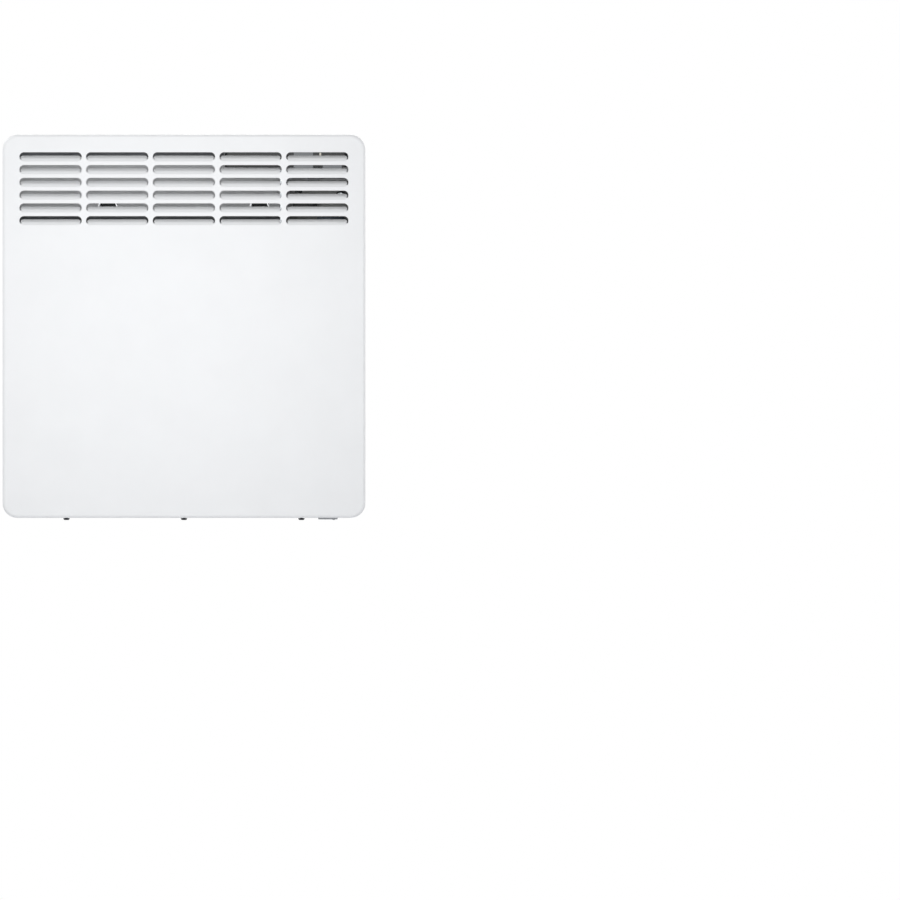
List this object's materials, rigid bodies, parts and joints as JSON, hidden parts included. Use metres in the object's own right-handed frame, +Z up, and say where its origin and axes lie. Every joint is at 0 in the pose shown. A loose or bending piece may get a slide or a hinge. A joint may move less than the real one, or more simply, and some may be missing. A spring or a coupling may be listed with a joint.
{
  "type": "wall panel convector heater",
  "caption": "Flat white wall convector heater with rows of pressed louvres, top controls, a rocker switch below and a hook-on wall bracket.",
  "frame": {"origin": "middle of the wall bracket's lower rail, on its back face, which lies on the wall", "axes": "+X to the right as seen from the front, +Y into the wall, +Z up"},
  "size_m": [0.426, 0.1, 0.4529],
  "materials": {
    "white_powder_coat": "satin powder coat on folded steel sheet",
    "zinc_steel": "zinc plated steel sheet",
    "aluminium": "mill finish",
    "dark_screw": "dark zinc plated",
    "spring_steel": "bright spring wire",
    "black_plastic": "moulded, fine texture",
    "grey_plastic": "moulded, satin",
    "white_plastic": "moulded, satin",
    "natural_plastic": "moulded nylon",
    "ceramic": "unglazed steatite",
    "circuit_board": "green solder mask",
    "display_glass": "smoked, polished",
    "lead_white": "silicone insulation",
    "lead_brown": "insulation, satin",
    "lead_earth": "insulation, satin"
  },
  "bodies": {
    "root": {"front_shell": "white_powder_coat", "rear_panel": "white_powder_coat", "wall_bracket": "white_powder_coat", "front_heat_shield": "zinc_steel", "compartment_wall": "zinc_steel", "element_bracket": "zinc_steel", "heating_rod": "zinc_steel", "element_terminal_left": "zinc_steel", "element_terminal_right": "zinc_steel", "latch_pin_left": "zinc_steel", "latch_pin_right": "zinc_steel", "earth_screw": "zinc_steel", "transformer": "zinc_steel", "element_profile": "aluminium", "rear_heat_shield": "aluminium", "casing_screw_left": "dark_screw", "casing_screw_middle": "dark_screw", "casing_screw_right": "dark_screw", "latch_spring_left": "spring_steel", "latch_spring_right": "spring_steel", "cable_gland": "black_plastic", "gland_nut": "black_plastic", "capacitor": "black_plastic", "room_sensor": "black_plastic", "control_housing": "black_plastic", "relay": "black_plastic", "tact_switch_menu": "black_plastic", "tact_switch_minus": "black_plastic", "tact_switch_plus": "black_plastic", "tact_switch_timer": "black_plastic", "tact_switch_power": "black_plastic", "mains_switch_body": "grey_plastic", "display_module": "grey_plastic", "control_fascia": "white_plastic", "board_carrier": "white_plastic", "sensor_clip": "white_plastic", "terminal_block": "natural_plastic", "thermal_cutout": "natural_plastic", "element_bush_left": "ceramic", "element_bush_right": "ceramic", "power_board": "circuit_board", "control_board": "circuit_board", "display_window": "display_glass", "element_lead_left": "lead_white", "element_lead_right": "lead_white", "sensor_lead": "lead_white", "control_lead": "lead_white", "switch_feed_lead": "lead_brown", "board_feed_lead": "lead_brown", "earth_lead": "lead_earth"},
    "rocker": {"mains_switch_rocker": "grey_plastic"},
    "latch_left": {"bracket_latch_left": "black_plastic"},
    "latch_right": {"bracket_latch_right": "black_plastic"},
    "menu_button": {"button_menu": "grey_plastic"},
    "minus_button": {"button_minus": "grey_plastic"},
    "plus_button": {"button_plus": "grey_plastic"},
    "timer_button": {"button_timer": "grey_plastic"},
    "power_button": {"button_power": "grey_plastic"}
  },
  "joints": [
    {"name": "rocker_tilt", "type": "hinge", "parent": "root", "child": "rocker", "pos_m": [0.169, -0.068, -0.117], "axis": [0, -1, 0], "range_deg": [0, 16]},
    {"name": "latch_left_release", "type": "hinge", "parent": "root", "child": "latch_left", "pos_m": [-0.089, -0.008, 0.251], "axis": [1, 0, 0], "range_deg": [0, 14], "stiffness_Nm_per_rad": 0.08, "springref_deg": -14.32, "deforming": ["latch_spring_left"]},
    {"name": "latch_right_release", "type": "hinge", "parent": "root", "child": "latch_right", "pos_m": [0.089, -0.008, 0.251], "axis": [1, 0, 0], "range_deg": [0, 14], "stiffness_Nm_per_rad": 0.08, "springref_deg": -14.32, "deforming": ["latch_spring_right"]},
    {"name": "menu_press", "type": "slide", "parent": "root", "child": "menu_button", "axis": [0, 0, -1], "range_m": [0, 0.0006], "stiffness_N_per_m": 400, "springref_m": -0.002},
    {"name": "minus_press", "type": "slide", "parent": "root", "child": "minus_button", "axis": [0, 0, -1], "range_m": [0, 0.0006], "stiffness_N_per_m": 400, "springref_m": -0.002},
    {"name": "plus_press", "type": "slide", "parent": "root", "child": "plus_button", "axis": [0, 0, -1], "range_m": [0, 0.0006], "stiffness_N_per_m": 400, "springref_m": -0.002},
    {"name": "timer_press", "type": "slide", "parent": "root", "child": "timer_button", "axis": [0, 0, -1], "range_m": [0, 0.0006], "stiffness_N_per_m": 400, "springref_m": -0.002},
    {"name": "power_press", "type": "slide", "parent": "root", "child": "power_button", "axis": [0, 0, -1], "range_m": [0, 0.0006], "stiffness_N_per_m": 400, "springref_m": -0.002}
  ]
}
